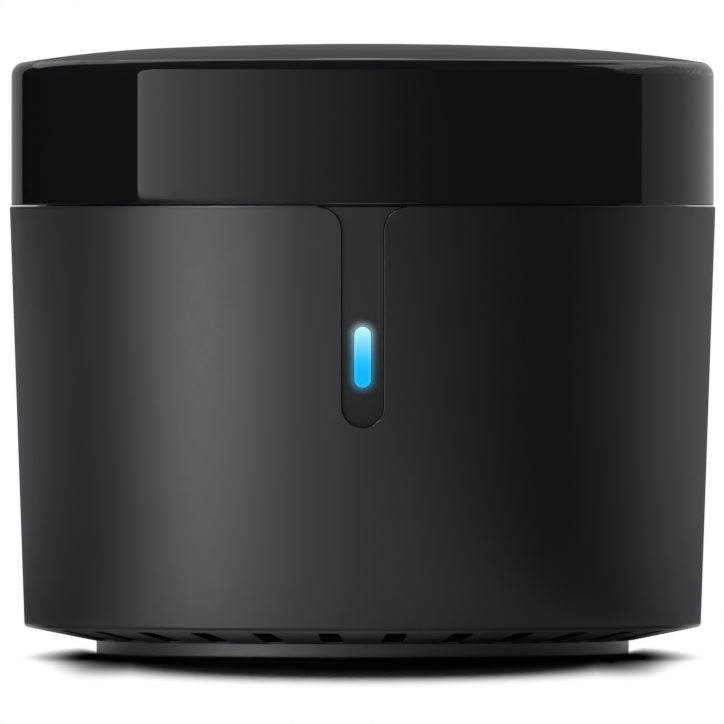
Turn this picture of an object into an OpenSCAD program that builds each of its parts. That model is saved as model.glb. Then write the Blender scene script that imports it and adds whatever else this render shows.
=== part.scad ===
// A palm-size infrared hub: a glossy cap on a tapered housing, over an inverted cone with vents.
// The origin is the centre of the foot, on the table. The front faces -Y and +Z is up.
// Angles round the axis are counted from +X, so the front is at 270 and the back at 90.

/* [Housing] */
// Diameter of the housing at the seam, its widest place
body_d = 46; // [44:0.5:54]
// Height of the seam between housing and cap above the table
seam_h = 29.3; // [28:0.1:36]
// Lean of the housing wall from the vertical, in degrees
body_lean = 2; // [0:0.25:4]
// Wall of the housing
body_wall = 1.6; // [1.2:0.1:1.8]
// Rounding of the housing's lower edge
low_edge_r = 0.25; // [0.1:0.05:0.4]
// Rounding of the housing's edge at the seam
seam_edge_r = 0.12; // [0.08:0.02:0.3]
// Gap at the seam
seam_gap = 0.08; // [0.04:0.01:0.15]
// Gap between shells that fit into each other
shell_fit = 0.08; // [0.05:0.01:0.12]

/* [Cap] */
// Height of the cap from the seam to the top of its dome
cap_h = 10.6; // [10:0.1:13]
// How far the cap's side lies inside the housing's edge
cap_inset = 0.11; // [0:0.01:0.3]
// Wall of the cap
cap_wall = 1.8; // [1.4:0.1:2]
// Thickness of the cap's top
cap_top_t = 1.8; // [1.4:0.1:2.2]
// Radius of the flat dome in the middle of the top
dome_r = 306; // [200:2:400]
// Distance from the axis to where the flat dome ends
crown_r = 13; // [10:0.5:16]
// Radius of the dome's steeper outer arc
shoulder_r = 78.6; // [60:0.2:120]
// Rounding of the cap's top rim
cap_edge_r = 0.9; // [0.5:0.1:1.2]
// Rounding of the cap's lower edge at the seam
cap_low_edge_r = 0.06; // [0.05:0.01:0.25]
// Length of the cap's spigot inside the housing
spigot_l = 2.9; // [2.4:0.1:3.2]
// Wall of the spigot
spigot_wall = 1.2; // [1:0.1:1.4]
// Radius of the snap beads' round section
bead_r = 0.3; // [0.2:0.05:0.35]
// How far the snap beads stand out of the spigot
bead_out = 0.2; // [0.1:0.05:0.25]

/* [Front strip and light] */
// Width of the front slot
slot_w = 2.78; // [2.4:0.02:3.4]
// Length of the front slot from the seam to its round end
slot_l = 14.3; // [13:0.1:16]
// Radius of the flares where the slot meets the seam
flare_r = 1.5; // [0.8:0.1:2]
// Gap between slot and strip
strip_gap = 0.06; // [0.04:0.01:0.12]
// How far the strip's face lies below the housing's face
strip_recess = 0.25; // [0.1:0.05:0.5]
// Width of the strip's plate behind the wall
plate_w = 6.4; // [5.6:0.1:8]
// Thickness of the strip's plate
plate_t = 0.9; // [0.7:0.1:1.2]
// Width of the light
pill_w = 1.08; // [0.8:0.02:1.6]
// Length of the light
pill_l = 3.92; // [3:0.02:6]
// Distance from the seam down to the middle of the light
pill_drop = 9.75; // [8.5:0.05:10]
// Gap round the light
pill_gap = 0.04; // [0.03:0.01:0.08]
// Width of the light guide's column
pipe_w = 3; // [2.6:0.1:3.4]
// Depth of the light guide's column
pipe_t = 1.6; // [1.2:0.1:1.8]

/* [Base] */
// How far the foot ring lies inside the housing's lower edge
foot_inset = 4.695; // [4:0.005:5]
// Height of the foot ring from the table to the cone
foot_h = 1; // [0.9:0.05:1.4]
// Height of the inverted cone
cone_h = 0.95; // [0.7:0.05:1.4]
// Rounding of the foot ring's lower edge
foot_edge_r = 0.15; // [0.1:0.05:0.5]
// Width of the groove between cone and foot ring
groove_w = 0.25; // [0.15:0.05:0.35]
// Depth of that groove
groove_d = 0.3; // [0.2:0.05:0.5]
// Number of vent slots
vent_n = 30; // [20:2:36]
// Width of a vent slot
vent_w = 1.4; // [0.8:0.1:1.6]
// Rounding of a vent slot's corners
vent_corner_r = 0.3; // [0.1:0.05:0.38]
// Land between the groove and the slots
vent_land = 0.2; // [0.15:0.05:0.6]
// Thickness of the housing's lip beside the base
lip_t = 0.55; // [0.45:0.05:0.8]
// Height of the base's rim inside the lip
base_rim_h = 1.3; // [1.1:0.1:1.5]
// Width of the base's rim
base_rim_w = 1.15; // [1:0.05:1.3]
// Thickness of the base's floor over the pad
base_floor_t = 1.8; // [1.6:0.1:2]
// Thickness of the rubber pad
pad_t = 0.8; // [0.6:0.1:1]
// How far the pad stands out below the foot ring
pad_proud = 0.1; // [0.05:0.05:0.3]
// Width of the foot ring round the pad
pad_margin = 0.75; // [0.6:0.05:1]

/* [Boards and screws] */
// Thickness of both circuit boards
board_t = 1.2; // [0.8:0.1:1.6]
// Height of the posts that carry the main board
post_h = 2.8; // [2.4:0.1:3.4]
// Gap between the main board's edge and the housing
board_side_gap = 0.7; // [0.5:0.05:0.9]
// Distance from the seam down to the upper board's underside
ir_drop = 2.3; // [2:0.1:2.5]
// Gap between the upper board's edge and the spigot
ir_side_gap = 0.2; // [0.15:0.05:0.4]
// Diameter of the columns that join base, boards and housing
boss_d = 4.4; // [4:0.1:4.8]
// Thickness of the webs between columns and wall
web_t = 1.2; // [1:0.1:1.6]
// Diameter of the screws' shanks
screw_d = 2; // [1.8:0.1:2.2]
// Diameter of the case screws' heads
head_d = 3.8; // [3.4:0.1:4]
// Height of the case screws' heads
head_h = 1.3; // [1:0.1:1.4]
// Length of the case screws under the head
screw_l = 8; // [6:0.5:10]
// Diameter of the board screws' heads
small_head_d = 3.4; // [3:0.1:3.6]
// Height of the board screws' heads
small_head_h = 0.9; // [0.7:0.1:1.1]
// Length of the board screws under the head
small_screw_l = 5; // [4:0.5:7]
// Radial room round a screw's head
head_fit = 0.2; // [0.1:0.05:0.3]
// Radial room round a screw in a through hole
hole_fit = 0.15; // [0.1:0.05:0.2]

/* [Infrared LEDs] */
// Diameter of an LED's body
led_d = 5; // [4:0.5:5]
// Diameter of an LED's flange
led_flange_d = 5.8; // [5:0.1:5.8]
// Thickness of an LED's flange
led_flange_t = 1; // [0.8:0.1:1.2]
// Length of an LED from flange to tip
led_l = 8.6; // [7.6:0.1:8.8]
// Gap between an LED's tip and the cap's wall
led_tip_gap = 1.45; // [1.3:0.05:1.8]
// Height of the LEDs' axes above the upper board
led_rise = 4.8; // [4.4:0.1:5.2]
// Pitch of pins and LED leads
pin_pitch = 2.54; // [2:0.01:2.54]
// Width of an LED's lead
lead_w = 0.5; // [0.4:0.05:0.6]
// Wall of the LED cradles beside the LED
cradle_wall = 0.8; // [0.6:0.1:1]
// Height of the ring that joins the cradles
cradle_ring_h = 1; // [0.8:0.1:1.2]
// Gap between an LED and its cradle
led_fit = 0.05; // [0.03:0.01:0.1]

/* [Power socket] */
// Width of the socket's shell
usb_w = 7.5; // [7.3:0.1:7.7]
// Height of the socket's shell
usb_h = 2.5; // [2.4:0.05:2.6]
// Length of the socket's shell
usb_l = 5; // [4.6:0.1:5.4]
// Sheet thickness of the shell
usb_sheet = 0.3; // [0.25:0.05:0.35]
// How far the shell's mouth flares
usb_flare = 0.25; // [0.15:0.05:0.3]
// Width of the pocket for the plug's grip
pocket_w = 11.6; // [11:0.1:12]
// Height of the pocket
pocket_h = 6.8; // [6.2:0.1:6.8]
// Depth of the pocket
pocket_d = 2.4; // [2:0.1:2.6]
// Rounding of the pocket's corners
pocket_r = 1.2; // [0.8:0.1:2]
// Wall round the pocket
pocket_t = 1.1; // [0.9:0.1:1.1]
// Gap between the pocket and the main board
pocket_gap = 0.2; // [0.15:0.05:0.4]
// Gap round the shell's mouth
port_fit = 0.15; // [0.1:0.05:0.25]

/* [Reset button] */
// Angle of the reset button round the axis
reset_az = 58; // [55:0.5:62]
// Diameter of the reset button
button_d = 3.2; // [2.8:0.1:3.4]
// Radial gap round the button and round the switch's plunger
button_fit = 0.06; // [0.03:0.01:0.08]
// How far the button's face stands out of the wall
button_proud = 0.12; // [0.05:0.01:0.2]
// Rounding of the button's face edge
button_edge_r = 0.2; // [0.1:0.05:0.3]
// Travel of the button
button_travel = 0.25; // [0.2:0.01:0.3]
// Diameter of the button's flange
button_flange_d = 4.4; // [4.1:0.1:4.8]
// Thickness of the button's flange
button_flange_t = 0.6; // [0.5:0.05:0.7]
// Diameter of the button's stem
stem_d = 1.5; // [1.2:0.1:1.8]
// Length of the button's stem
stem_l = 0.45; // [0.4:0.05:0.6]
// Gap between parts that press on each other
press_gap = 0.04; // [0.03:0.01:0.08]
// Thickness of the pad that guides the button
guide_t = 0.5; // [0.4:0.05:0.6]
// Width of that pad round the button's hole
guide_ring = 1; // [0.8:0.1:1.1]
// Width of the switch's body
switch_w = 6; // [5.6:0.1:6.2]
// Depth of the switch's body
switch_l = 3.6; // [3.4:0.1:4]
// Height of the switch's body
switch_h = 3.5; // [3.3:0.1:3.8]
// Diameter of the switch's plunger
plunger_d = 1.8; // [1.4:0.1:2]
// How far the plunger stands out of the switch
plunger_out = 0.8; // [0.6:0.1:0.9]
// Depth of the plunger inside the switch
plunger_in = 1.4; // [1.2:0.1:1.8]

/* [Hidden] */
$fn = 96;

// Angles round the axis
front_az = 270;
led_n = 6;
led_first_az = 0;
boss_azs = [30, 150, 210, 330];
bead_azs = [45, 135, 225, 315];
bead_sweep = 24;
strip_sweep = 60;

// Overrun of every cut past the face that it opens, and how deep joined shapes run into each other
cut = 1;
bite = 0.3;
// Steps of an edge rounding
edge_steps = 4;

// Steps of the dome's circles, which are large, so that the short arcs used stay smooth
dome_fn = 1440;

// Housing and cap
body_r_top = body_d / 2;
low_z = foot_h + cone_h;
foot_r = body_r(low_z) - foot_inset;
lip_r = body_r(low_z) - lip_t;
rim_r = lip_r - shell_fit;
rim_top_z = low_z + base_rim_h;
cap_r = body_r_top - cap_inset;
cap_in_r = cap_r - cap_wall;
cap_low_z = seam_h + seam_gap;
apex_z = seam_h + cap_h;
spigot_low_z = seam_h - spigot_l;
spigot_r = inner_r(spigot_low_z) - shell_fit;
spigot_in_r = spigot_r - spigot_wall;
web_top_z = spigot_low_z - shell_fit;
bead_mid_r = spigot_r + bead_out - bead_r;
bead_z = spigot_low_z + 2 * bead_r;

// Base
pad_r = foot_r - pad_margin;
floor_z = pad_t + base_floor_t;
vent_in_r = foot_r + groove_w + vent_land;
vent_out_r = rim_r - vent_land;
vent_top_z = (floor_z + rim_top_z) / 2;

// Boards, columns and screws
main_z = floor_z + post_h;
main_top_z = main_z + board_t;
main_r = inner_r(main_z) - board_side_gap;
ir_z = seam_h - ir_drop;
ir_top_z = ir_z + board_t;
ir_r = spigot_in_r - ir_side_gap;
boss_r = boss_d / 2;
screw_r = screw_d / 2;
head_seat_r = head_d / 2 + head_fit;
boss_ring_r = pad_r - head_seat_r - head_fit;
head_seat_z = pad_t + head_h + head_fit;
pilot_fit = 0.02;
pilot_spare = 1;
pilot_top_z = head_seat_z + screw_l + pilot_spare;

// Light guide and status LED
slot_low_z = seam_h - slot_l;
pill_z = seam_h - pill_drop;
status_h = 0.9;
status_w = 2.4;
status_gap = 0.15;
head_margin = 0.8;
head_low_z = pill_z - pill_l / 2 - head_margin;
head_top_z = pill_z + pill_l / 2 + head_margin;
plate_low_z = slot_low_z - head_margin - bite;
plate_top_z = web_top_z;
pipe_out_r = main_r - board_side_gap;
pipe_in_r = pipe_out_r - pipe_t;
pipe_low_z = main_top_z + status_h + status_gap;
pipe_head_r = chord(inner_r(head_low_z) - plate_t, pipe_w / 2) - press_gap;
rail_t = 0.8;
rail_depth = 1.2;
plate_corner_r = 1.2;

// LEDs and their holder
led_r = led_d / 2;
led_z = ir_top_z + led_rise;
led_base_r = cap_in_r - led_tip_gap - led_l;
lead_out = 1.2;
cradle_back_r = led_base_r + led_flange_t + led_fit;
cradle_l = led_l - led_flange_t - led_r;
cradle_w = led_d + 2 * led_fit + 2 * cradle_wall;
cradle_ring_in_r = led_base_r - lead_out + 2 * lead_w;
cradle_ring_out_r = cradle_back_r + bite;

// Socket and pocket
port_z = main_top_z + usb_h / 2;
pocket_floor_y = body_r(port_z) - pocket_d;
pocket_back_y = pocket_floor_y - pocket_t;
usb_corner_r = 0.4;
usb_low_share = 0.78;
tongue_w = 3.7;
tongue_t = 0.6;
tongue_l = 3.4;
tongue_block_l = 1.2;
tab_t = 0.3;
tab_l = 1.6;
tab_h = 1.3;

// Reset button, from the axis outward
reset_z = main_top_z + switch_h / 2;
button_r = button_d / 2;
button_face_r = body_r(reset_z) + button_proud;
guide_face_r = inner_r(reset_z) - guide_t;
flange_out_r = guide_face_r - press_gap;
flange_in_r = flange_out_r - button_flange_t;
stem_tip_r = flange_in_r - stem_l;
plunger_tip_r = stem_tip_r - press_gap;
switch_face_r = plunger_tip_r - plunger_out;
notch_r = flange_in_r - button_travel - press_gap - hole_fit;
notch_w = button_flange_d + 4 * hole_fit;

// Places of parts on the boards, as shares of that board's radius in X and Y
header_y_share = 0.3;
wifi_place_share = [-0.1, -0.352];
capacitor_place_share = [0.694, 0];
inductor_place_share = [-0.704, 0];
regulator_place_share = [0.4, 0];
flash_place_share = [-0.33, 0.56];
crystal_place_share = [0.4, -0.6];
driver_place_share = [0.3, 0.17];
chip_place_shares = [[0.3, 0.5], [0.4, 0.5], [-0.8, 0.36], [-0.1, 0.66], [0.62, -0.62], [-0.25, -0.8]];

// Sizes of parts on the boards
header_n = 5;
header_w = 2.5;
header_h = 2.5;
pin_w = 0.64;
pin_fit = 0.02;
wifi_size = [15, 12, 0.8];
shield_size = [10.4, 9.6, 2];
shield_edge_r = 0.5;
shield_shift = 1.6;
capacitor_d = 6.3;
capacitor_h = 7.7;
capacitor_foot = [6.6, 6.6, 0.9];
capacitor_groove = 0.3;
capacitor_groove_share = 0.16;
inductor_size = [5, 5, 2.8];
inductor_corner_r = 0.9;
regulator_body = [3.5, 6.5, 1.6];
regulator_tab = [1.2, 3, 0.4];
regulator_pitch = 2.3;
flash_body = [4, 5, 1.5];
chip_lead = [0.4, 0.2];
crystal_size = [3.2, 2.5, 0.8];
small_chip = [1.6, 0.8, 0.7];
driver_body = [2.9, 1.3, 1];
receiver_size = [3.9, 6, 6.9];
receiver_lens_r = 2.2;
receiver_rise = 1.2;
receiver_gap = 1.9;
receiver_lens_share = 0.6;
resistor_r_share = 0.36;

// Outer radius of the housing wall at height z
function body_r(z) = body_d / 2 - (seam_h - z) * tan(body_lean);

// Inner radius of the housing wall at height z
function inner_r(z) = body_r(z) - body_wall;

// Radius of the middle of the housing wall at height z
function wall_mid_r(z) = body_r(z) - body_wall / 2;

// Height of the inverted cone at radius r
function cone_z(r) = foot_h + (r - foot_r) * cone_h / foot_inset;

// Distance from the axis to a circle of radius r, half a width to the side
function chord(r, half) = sqrt(r * r - half * half);

// The point p turned by a degrees
function turned(p, a) = [p.x * cos(a) - p.y * sin(a), p.x * sin(a) + p.y * cos(a)];

// Points of a rounding of radius r at the corner b between a and c
function rounding(a, b, c, r) =
    let (
        u = (a - b) / norm(a - b),
        v = (c - b) / norm(c - b),
        half = acos(u * v) / 2,
        centre = b + (u + v) / norm(u + v) * r / sin(half),
        start = b + u * r / tan(half) - centre,
        sweep = (cross(u, v) > 0 ? -1 : 1) * (180 - 2 * half)
    )
    [for (i = [0 : edge_steps]) centre + turned(start, sweep * i / edge_steps)];

// An outline whose corners have the radii given, with zero for a sharp corner
function rounded(points, radii) =
    let (n = len(points))
    [for (i = [0 : n - 1])
        each (radii[i] == 0
            ? [points[i]]
            : rounding(points[(i + n - 1) % n], points[i], points[(i + 1) % n], radii[i]))];

// Children at each of the angles round the axis
module at_azs(azs) {
    for (az = azs)
        rotate([0, 0, az])
            children();
}

// A plate of thickness t that stands on a radius, drawn as distance from the axis and height
module standing(az, t) {
    rotate([0, 0, az])
        rotate([90, 0, 0])
            linear_extrude(height = t, center = true)
                children();
}

// A stretch of round rod along the radius at az, from radius r1 to r2, at height z
module radial_rod(az, z, r1, r2, r) {
    rotate([0, 0, az])
        translate([r1, 0, z])
            rotate([0, 90, 0])
                cylinder(r = r, h = r2 - r1);
}

// A block centred on x and y that stands at height z
module block(size) {
    translate([-size.x / 2, -size.y / 2, 0])
        cube(size);
}

// A rectangle with round corners, centred on its place
module round_rect(w, h, r) {
    square([w, h - 2 * r], center = true);
    square([w - 2 * r, h], center = true);
    for (x = [-1, 1], y = [-1, 1])
        translate([x * (w / 2 - r), y * (h / 2 - r)])
            circle(r = r);
}

// A pill shape that stands upright, centred on its place
module pill(w, l) {
    square([w, l - w], center = true);
    for (side = [-1, 1])
        translate([0, side * (l - w) / 2])
            circle(r = w / 2);
}

// Section of the housing's wall between two depths below its face and two heights
module wall_section(deep, shallow, low, high) {
    polygon([
        [body_r(low) - deep, low],
        [body_r(low) - shallow, low],
        [body_r(high) - shallow, high],
        [body_r(high) - deep, high]
    ]);
}

// The same section swept past the front
module front_shell(deep, shallow, low, high) {
    rotate_extrude(angle = strip_sweep, start = front_az - strip_sweep / 2)
        wall_section(deep, shallow, low, high);
}

// Outline of the front slot from its round end to the seam; grow widens it evenly
module slot_outline(grow, top) {
    half = slot_w / 2;
    end_z = slot_low_z + half;
    flare_z = seam_h - flare_r - seam_edge_r;
    translate([0, end_z])
        circle(r = half + grow);
    translate([-half - grow, end_z])
        square([slot_w + 2 * grow, top - end_z]);
    difference() {
        translate([-half - flare_r - grow, flare_z])
            square([slot_w + 2 * (flare_r + grow), top - flare_z]);
        for (side = [-1, 1])
            translate([side * (half + flare_r), flare_z])
                circle(r = flare_r - grow);
    }
}

// Section of the housing's sleeve, with the lip and ledge that take the base
module housing_section() {
    polygon(rounded(
        [
            [lip_r, cone_z(lip_r)],
            [body_r(low_z), low_z],
            [body_r_top, seam_h],
            [inner_r(seam_h), seam_h],
            [inner_r(rim_top_z), rim_top_z],
            [lip_r, rim_top_z]
        ],
        [0, low_edge_r, seam_edge_r, 0, 0, 0]
    ));
}

// The housing's outer form as a solid, to trim what is added inside it
module housing_core() {
    rotate_extrude()
        polygon([[0, rim_top_z], [body_r(rim_top_z), rim_top_z], [body_r_top, seam_h], [0, seam_h]]);
}

module housing() {
    top_z = seam_h + cut;
    color("#2a2a2d")
    difference() {
        union() {
            rotate_extrude()
                housing_section();
            intersection() {
                housing_core();
                translate([0, pocket_back_y, port_z])
                    rotate([-90, 0, 0])
                        linear_extrude(height = body_d / 2)
                            pocket_outline(pocket_t);
            }
            radial_rod(reset_az, reset_z, guide_face_r, wall_mid_r(reset_z), button_r + guide_ring);
            at_azs(boss_azs)
                translate([boss_ring_r, 0, main_top_z])
                    cylinder(r = boss_r, h = ir_z - main_top_z);
            for (az = boss_azs)
                standing(az, web_t)
                    polygon([
                        [boss_ring_r, main_top_z],
                        [wall_mid_r(main_top_z), main_top_z],
                        [wall_mid_r(web_top_z), web_top_z],
                        [boss_ring_r, web_top_z]
                    ]);
        }
        rotate([90, 0, 0])
            linear_extrude(height = body_d / 2 + cut)
                slot_outline(0, top_z);
        translate([0, pocket_floor_y, port_z])
            rotate([-90, 0, 0])
                linear_extrude(height = body_d / 2)
                    pocket_outline(0);
        translate([0, pocket_back_y - cut, port_z])
            rotate([-90, 180, 0])
                linear_extrude(height = pocket_t + 2 * cut)
                    usb_outline(usb_flare + port_fit);
        radial_rod(reset_az, reset_z, guide_face_r - cut, body_r_top + cut, button_r + button_fit);
        at_azs(boss_azs)
            translate([boss_ring_r, 0, 0]) {
                translate([0, 0, main_top_z - cut])
                    cylinder(r = screw_r + pilot_fit, h = pilot_top_z - main_top_z + cut);
                translate([0, 0, ir_top_z - small_screw_l - pilot_spare])
                    cylinder(r = screw_r + pilot_fit, h = small_screw_l + pilot_spare + cut);
            }
        rotate_extrude()
            translate([bead_mid_r, bead_z])
                circle(r = bead_r + button_fit, $fn = 32);
    }
}

// Outer section of the cap: a flat dome, a steeper outer arc and a rounded rim
module cap_outer_section() {
    dome_mid = [0, apex_z - dome_r];
    arc_dir = [crown_r, chord(dome_r, crown_r)] / dome_r;
    shoulder_mid = dome_mid + arc_dir * (dome_r - shoulder_r);
    edge_x = cap_r - cap_edge_r;
    edge_mid = [edge_x, shoulder_mid.y + chord(shoulder_r - cap_edge_r, edge_x - shoulder_mid.x)];
    edge_dir = (edge_mid - shoulder_mid) / norm(edge_mid - shoulder_mid);
    span = 2 * cap_edge_r;
    difference() {
        intersection() {
            polygon(rounded(
                [[0, cap_low_z], [cap_r, cap_low_z], [cap_r, apex_z + cut], [0, apex_z + cut]],
                [0, cap_low_edge_r, 0, 0]
            ));
            union() {
                intersection() {
                    translate(dome_mid)
                        circle(r = dome_r, $fn = 2 * dome_fn);
                    square([crown_r, apex_z + cut]);
                }
                intersection() {
                    translate(shoulder_mid)
                        circle(r = shoulder_r, $fn = dome_fn);
                    translate([crown_r, 0])
                        square([cap_r - crown_r + cut, apex_z + cut]);
                }
            }
        }
        difference() {
            polygon([edge_mid, edge_mid + edge_dir * span, edge_mid + [span, span], edge_mid + [span, 0]]);
            translate(edge_mid)
                circle(r = cap_edge_r);
        }
    }
}

module ir_cap() {
    shoulder_z = cap_low_z + cap_wall;
    color("#0b0b0d")
    union() {
        rotate_extrude()
            difference() {
                cap_outer_section();
                intersection() {
                    polygon([
                        [0, cap_low_z - cut],
                        [spigot_in_r, cap_low_z - cut],
                        [spigot_in_r, shoulder_z],
                        [cap_in_r, shoulder_z + cap_in_r - spigot_in_r],
                        [cap_in_r, apex_z],
                        [0, apex_z]
                    ]);
                    translate([0, apex_z - cap_top_t - dome_r])
                        circle(r = dome_r, $fn = 2 * dome_fn);
                }
            }
        rotate_extrude()
            translate([spigot_in_r, spigot_low_z])
                square([spigot_wall, cap_low_z - spigot_low_z + bite]);
        for (az = bead_azs)
            rotate_extrude(angle = bead_sweep, start = az - bead_sweep / 2)
                translate([bead_mid_r, bead_z])
                    circle(r = bead_r, $fn = 32);
    }
}

// The strip's block, drawn as distance from the axis and height: its face, and the root that meets the plate
module strip_section() {
    root = body_wall + plate_t / 2;
    polygon([
        [body_r(plate_low_z) - root, plate_low_z],
        [body_r(plate_low_z) - strip_recess, plate_low_z],
        [body_r(seam_h) - strip_recess, seam_h],
        [inner_r(seam_h), seam_h],
        [inner_r(plate_top_z), plate_top_z],
        [body_r(plate_top_z) - root, plate_top_z]
    ]);
}

module front_strip() {
    plate_mid_z = (plate_low_z + plate_top_z) / 2;
    color("#303034")
    difference() {
        union() {
            intersection() {
                rotate([90, 0, 0])
                    linear_extrude(height = body_d / 2)
                        slot_outline(-strip_gap, seam_h - seam_edge_r);
                rotate_extrude(angle = strip_sweep, start = front_az - strip_sweep / 2)
                    strip_section();
            }
            intersection() {
                translate([0, 0, plate_mid_z])
                    rotate([90, 0, 0])
                        linear_extrude(height = body_d / 2)
                            round_rect(plate_w, plate_top_z - plate_low_z, plate_corner_r);
                front_shell(body_wall + plate_t, body_wall + strip_gap, plate_low_z - cut, seam_h);
            }
            for (side = [-1, 1])
                translate([side * (pipe_w / 2 + press_gap + rail_t / 2), 0, 0])
                    standing(front_az, rail_t)
                        translate([pipe_head_r - rail_depth, head_low_z])
                            square([rail_depth + plate_t / 2, head_top_z - head_low_z]);
        }
        translate([0, 0, pill_z])
            rotate([90, 0, 0])
                linear_extrude(height = body_d / 2 + cut)
                    pill(pill_w + 2 * pill_gap, pill_l + 2 * pill_gap);
    }
}

module light_guide() {
    color("#bfeaff")
    union() {
        standing(front_az, pipe_w)
            polygon([
                [pipe_in_r, pipe_low_z],
                [pipe_out_r, pipe_low_z],
                [pipe_out_r, head_low_z],
                [pipe_head_r, head_low_z],
                [pipe_head_r, head_top_z],
                [pipe_out_r, head_top_z],
                [pipe_in_r, head_top_z - pipe_t]
            ]);
        intersection() {
            translate([0, 0, pill_z])
                rotate([90, 0, 0])
                    linear_extrude(height = body_d / 2)
                        pill(pill_w, pill_l);
            front_shell(body_r_top - pipe_out_r, strip_recess, 0, seam_h);
        }
    }
}

// Section of the base: foot ring, groove, cone, rim and floor
module base_section() {
    ring_z = pad_proud;
    seat_r = pad_r + shell_fit;
    groove_r = foot_r + groove_w;
    polygon(rounded(
        [
            [0, pad_t],
            [seat_r, pad_t],
            [seat_r, ring_z],
            [foot_r, ring_z],
            [foot_r, foot_h + groove_d],
            [groove_r, foot_h + groove_d],
            [groove_r, cone_z(groove_r)],
            [rim_r, cone_z(rim_r)],
            [rim_r, rim_top_z],
            [rim_r - base_rim_w, rim_top_z],
            [rim_r - base_rim_w, floor_z],
            [0, floor_z]
        ],
        [0, 0, 0, foot_edge_r, 0, 0, 0, 0, 0, 0, 0, 0]
    ));
}

module base_cover() {
    vent_l = vent_out_r - vent_in_r;
    color("#242427")
    difference() {
        union() {
            rotate_extrude()
                base_section();
            at_azs(boss_azs)
                translate([boss_ring_r, 0, floor_z - bite])
                    cylinder(r = boss_r, h = post_h + bite);
        }
        for (i = [0 : vent_n - 1])
            rotate([0, 0, front_az + (i + 0.5) * 360 / vent_n])
                translate([vent_in_r + vent_l / 2, 0, 0])
                    linear_extrude(height = vent_top_z)
                        round_rect(vent_l, vent_w, vent_corner_r);
        at_azs(boss_azs)
            translate([boss_ring_r, 0, 0]) {
                cylinder(r = head_seat_r, h = head_seat_z);
                cylinder(r = screw_r + hole_fit, h = main_z + cut);
            }
    }
}

module foot_pad() {
    color("#1b1b1c")
    rotate_extrude()
        polygon(rounded(
            [[0, 0], [pad_r, 0], [pad_r, pad_t], [0, pad_t]],
            [0, pad_proud, 0, 0]
        ));
}

// A screw whose head rests on height zero and whose shank runs up
module screw(d, h, l) {
    recess_w = screw_d / 3;
    difference() {
        union() {
            translate([0, 0, -h])
                cylinder(r = d / 2, h = h);
            cylinder(r = screw_r, h = l);
        }
        translate([0, 0, -h])
            for (turn = [0, 90])
                rotate([0, 0, turn])
                    translate([-screw_r, -recess_w / 2, -cut])
                        cube([screw_d, recess_w, h / 2 + cut]);
    }
}

module case_screws() {
    color("#8d8f92")
    at_azs(boss_azs)
        translate([boss_ring_r, 0, head_seat_z])
            screw(head_d, head_h, screw_l);
}

module board_screws() {
    color("#8d8f92")
    at_azs(boss_azs)
        translate([boss_ring_r, 0, ir_top_z])
            rotate([180, 0, 0])
                screw(small_head_d, small_head_h, small_screw_l);
}

module main_board() {
    flat_y = pocket_back_y - pocket_gap;
    color("#1c5a34")
    difference() {
        translate([0, 0, main_z])
            cylinder(r = main_r, h = board_t);
        translate([-main_r, flat_y, main_z - cut])
            cube([2 * main_r, main_r, board_t + 2 * cut]);
        rotate([0, 0, reset_az])
            translate([notch_r, -notch_w / 2, main_z - cut])
                cube([main_r, notch_w, board_t + 2 * cut]);
        at_azs(boss_azs)
            translate([boss_ring_r, 0, main_z - cut])
                cylinder(r = screw_r + hole_fit, h = board_t + 2 * cut);
    }
}

module ir_board() {
    color("#1c5a34")
    difference() {
        translate([0, 0, ir_z])
            cylinder(r = ir_r, h = board_t);
        at_azs(boss_azs)
            translate([boss_ring_r, 0, ir_z - cut])
                cylinder(r = screw_r + hole_fit, h = board_t + 2 * cut);
    }
}

// Children at each pin of the connector between the boards
module at_pins() {
    for (i = [0 : header_n - 1])
        translate([(i - (header_n - 1) / 2) * pin_pitch, header_y_share * main_r, 0])
            children();
}

// Plastic strip of the connector, with a hole for each pin, standing at height z
module pin_strip(z) {
    hole_w = pin_w + 2 * pin_fit;
    difference() {
        translate([0, header_y_share * main_r, z])
            block([header_n * pin_pitch, header_w, header_h]);
        at_pins()
            translate([0, 0, z - cut])
                block([hole_w, hole_w, header_h + 2 * cut]);
    }
}

module header_strip() {
    color("#161618")
    pin_strip(main_top_z);
}

module header_socket() {
    color("#161618")
    pin_strip(ir_z - header_h);
}

module header_pins() {
    color("#c9a64a")
    at_pins()
        translate([0, 0, main_top_z])
            block([pin_w, pin_w, ir_z - main_top_z]);
}

// An LED that points up from height zero, with two leads that leave its foot
module led_body() {
    cylinder(r = led_flange_d / 2, h = led_flange_t);
    cylinder(r = led_r, h = led_l - led_r);
    translate([0, 0, led_l - led_r])
        sphere(r = led_r);
}

// LED of the ring that looks outward, with leads bent down to the board
module ring_led(i) {
    color("#23182c")
    rotate([0, 0, led_first_az + (i - 1) * 360 / led_n])
        translate([led_base_r, 0, led_z])
            rotate([0, 90, 0]) {
                led_body();
                for (side = [-1, 1])
                    translate([0, side * pin_pitch / 2, 0]) {
                        translate([-lead_w / 2, -lead_w / 2, -lead_out])
                            cube([lead_w, lead_w, lead_out + bite]);
                        translate([-lead_w / 2, -lead_w / 2, -lead_out])
                            cube([led_rise + lead_w / 2, lead_w, lead_w]);
                    }
            }
}

// LED in the middle that looks up through the dome
module top_led() {
    color("#23182c")
    translate([0, 0, ir_top_z])
        led_body();
}

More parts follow.
